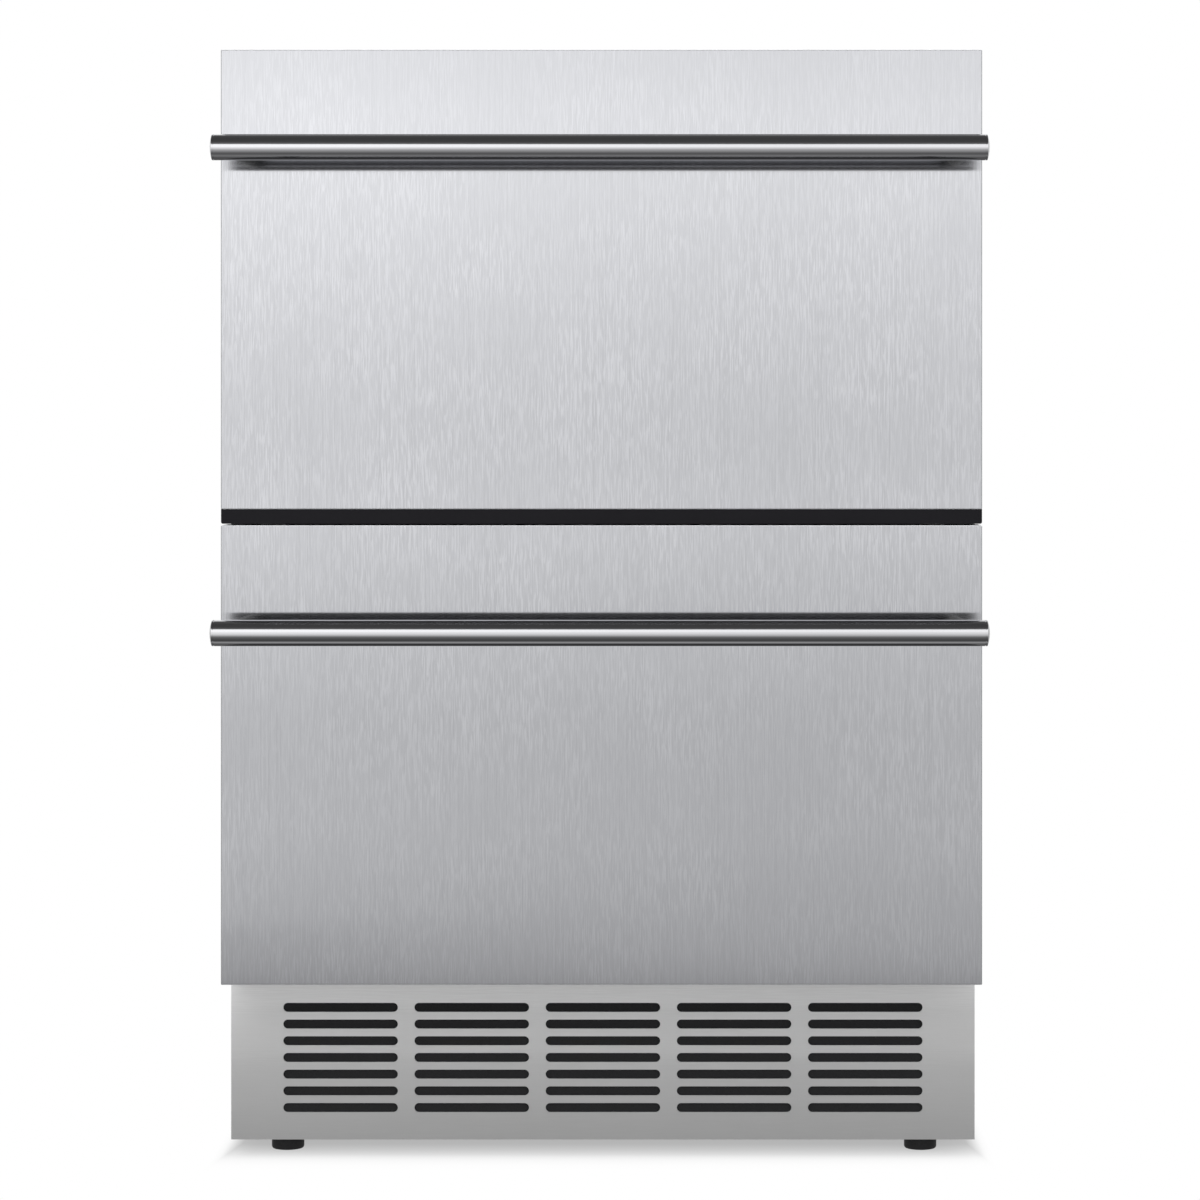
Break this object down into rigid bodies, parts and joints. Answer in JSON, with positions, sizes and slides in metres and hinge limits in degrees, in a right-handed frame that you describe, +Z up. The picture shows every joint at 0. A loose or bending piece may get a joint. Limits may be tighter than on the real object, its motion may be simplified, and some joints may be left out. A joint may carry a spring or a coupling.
{
  "type": "beverage refrigerator",
  "caption": "Under-counter refrigerator with stacked full-width steel drawers on telescopic slides, round bar handles, a slotted kick plate and levelling feet.",
  "frame": {"origin": "on the floor, under the middle of the whole outline, handles included", "axes": "+Z up, -Y out of the drawers' fronts, +X to the right as the user faces them from -Y"},
  "size_m": [0.596, 0.645, 0.875],
  "materials": {
    "front_steel": "stainless sheet with an upright grain",
    "kick_steel": "satin stainless sheet",
    "handle_steel": "polished stainless tube",
    "tub_steel": "satin stainless sheet",
    "slide_steel": "zinc plated",
    "zinc_steel": "galvanised sheet",
    "screw_steel": "zinc plated",
    "cabinet_paint": "fine textured black paint",
    "machine_paint": "black enamel",
    "trim_plastic": "moulded, black",
    "foot_plastic": "moulded nylon, black",
    "fan_plastic": "moulded, black",
    "liner_plastic": "vacuum formed, pale grey",
    "panel_plastic": "vacuum formed, pale grey",
    "cover_plastic": "moulded, pale grey",
    "gasket_rubber": "soft extrusion with a magnet strip",
    "grommet_rubber": "moulded",
    "foam": "rigid poured foam",
    "fin_aluminium": "bare fins on a tube",
    "copper": "bare copper tube",
    "lamp_plastic": "frosted",
    "control_plastic": "moulded, black",
    "button_plastic": "moulded, grey",
    "window_glass": "dark display window",
    "box_plastic": "moulded, flame retardant",
    "filter_foam": "open-cell foam in a plastic frame, black"
  },
  "bodies": {
    "cabinet": {"base_pan": "zinc_steel", "cabinet_back": "zinc_steel", "cabinet_sides": "cabinet_paint", "cabinet_top": "cabinet_paint", "compressor": "machine_paint", "compressor_grommets": "grommet_rubber", "condenser_coil": "machine_paint", "condenser_fan_frame": "fan_plastic", "control_housing": "control_plastic", "display_window": "window_glass", "drain_pan": "box_plastic", "electrical_box": "box_plastic", "evaporator_coil": "fin_aluminium", "evaporator_cover": "cover_plastic", "evaporator_fan_frame": "fan_plastic", "inner_liner": "liner_plastic", "insulation_foam": "foam", "intake_filter": "filter_foam", "kick_plate": "kick_steel", "light_bar": "lamp_plastic", "lower_slides_outer": "slide_steel", "machine_deck": "cabinet_paint", "mains_inlet": "box_plastic", "mullion": "cabinet_paint", "panel_screws": "screw_steel", "rear_cover": "zinc_steel", "refrigerant_pipes": "copper", "upper_slides_outer": "slide_steel"},
    "upper_drawer": {"upper_drawer_skin": "front_steel", "upper_drawer_foam": "foam", "upper_drawer_inner_panel": "panel_plastic", "upper_drawer_gasket": "gasket_rubber", "upper_handle_bar": "handle_steel", "upper_handle_end_caps": "handle_steel", "upper_handle_posts": "handle_steel", "upper_handle_studs": "screw_steel", "upper_drawer_tub": "tub_steel", "upper_slides_inner": "slide_steel", "upper_drawer_trim": "trim_plastic"},
    "upper_middle_rails": {"upper_slides_middle": "slide_steel"},
    "lower_drawer": {"lower_drawer_skin": "front_steel", "lower_drawer_foam": "foam", "lower_drawer_inner_panel": "panel_plastic", "lower_drawer_gasket": "gasket_rubber", "lower_handle_bar": "handle_steel", "lower_handle_end_caps": "handle_steel", "lower_handle_posts": "handle_steel", "lower_handle_studs": "screw_steel", "lower_drawer_tub": "tub_steel", "lower_slides_inner": "slide_steel"},
    "lower_middle_rails": {"lower_slides_middle": "slide_steel"},
    "evaporator_fan": {"evaporator_fan_blades": "fan_plastic"},
    "condenser_fan": {"condenser_fan_blades": "fan_plastic"},
    "button_power": {"button_power": "button_plastic"},
    "button_warmer": {"button_warmer": "button_plastic"},
    "button_cooler": {"button_cooler": "button_plastic"},
    "foot_front_left": {"foot_front_left": "foot_plastic"},
    "foot_front_right": {"foot_front_right": "foot_plastic"},
    "foot_rear_left": {"foot_rear_left": "foot_plastic"},
    "foot_rear_right": {"foot_rear_right": "foot_plastic"}
  },
  "joints": [
    {"name": "upper_drawer_slide", "type": "slide", "parent": "cabinet", "child": "upper_drawer", "axis": [0, -1, 0], "range_m": [0, 0.38]},
    {"name": "upper_rail_slide", "type": "slide", "parent": "cabinet", "child": "upper_middle_rails", "axis": [0, -1, 0], "range_m": [0, 0.19]},
    {"name": "lower_drawer_slide", "type": "slide", "parent": "cabinet", "child": "lower_drawer", "axis": [0, -1, 0], "range_m": [0, 0.38]},
    {"name": "lower_rail_slide", "type": "slide", "parent": "cabinet", "child": "lower_middle_rails", "axis": [0, -1, 0], "range_m": [0, 0.19]},
    {"name": "evaporator_fan_spin", "type": "hinge", "parent": "cabinet", "child": "evaporator_fan", "pos_m": [0, 0.228, 0.7545], "axis": [0, 1, 0], "continuous": true},
    {"name": "condenser_fan_spin", "type": "hinge", "parent": "cabinet", "child": "condenser_fan", "pos_m": [-0.14, -0.1185, 0.0722], "axis": [0, 1, 0], "continuous": true},
    {"name": "button_power_press", "type": "slide", "parent": "cabinet", "child": "button_power", "axis": [0, 1, 0], "range_m": [0, 0.001], "stiffness_N_per_m": 400},
    {"name": "button_warmer_press", "type": "slide", "parent": "cabinet", "child": "button_warmer", "axis": [0, 1, 0], "range_m": [0, 0.001], "stiffness_N_per_m": 400},
    {"name": "button_cooler_press", "type": "slide", "parent": "cabinet", "child": "button_cooler", "axis": [0, 1, 0], "range_m": [0, 0.001], "stiffness_N_per_m": 400},
    {"name": "foot_front_left_screw", "type": "slide", "parent": "cabinet", "child": "foot_front_left", "axis": [0, 0, -1], "range_m": [0, 0.015]},
    {"name": "foot_front_right_screw", "type": "slide", "parent": "cabinet", "child": "foot_front_right", "axis": [0, 0, -1], "range_m": [0, 0.015]},
    {"name": "foot_rear_left_screw", "type": "slide", "parent": "cabinet", "child": "foot_rear_left", "axis": [0, 0, -1], "range_m": [0, 0.015]},
    {"name": "foot_rear_right_screw", "type": "slide", "parent": "cabinet", "child": "foot_rear_right", "axis": [0, 0, -1], "range_m": [0, 0.015]}
  ],
  "couplings": [
    {"joint": "upper_rail_slide", "follows": "upper_drawer_slide", "ratio": 0.5},
    {"joint": "lower_rail_slide", "follows": "lower_drawer_slide", "ratio": 0.5}
  ]
}
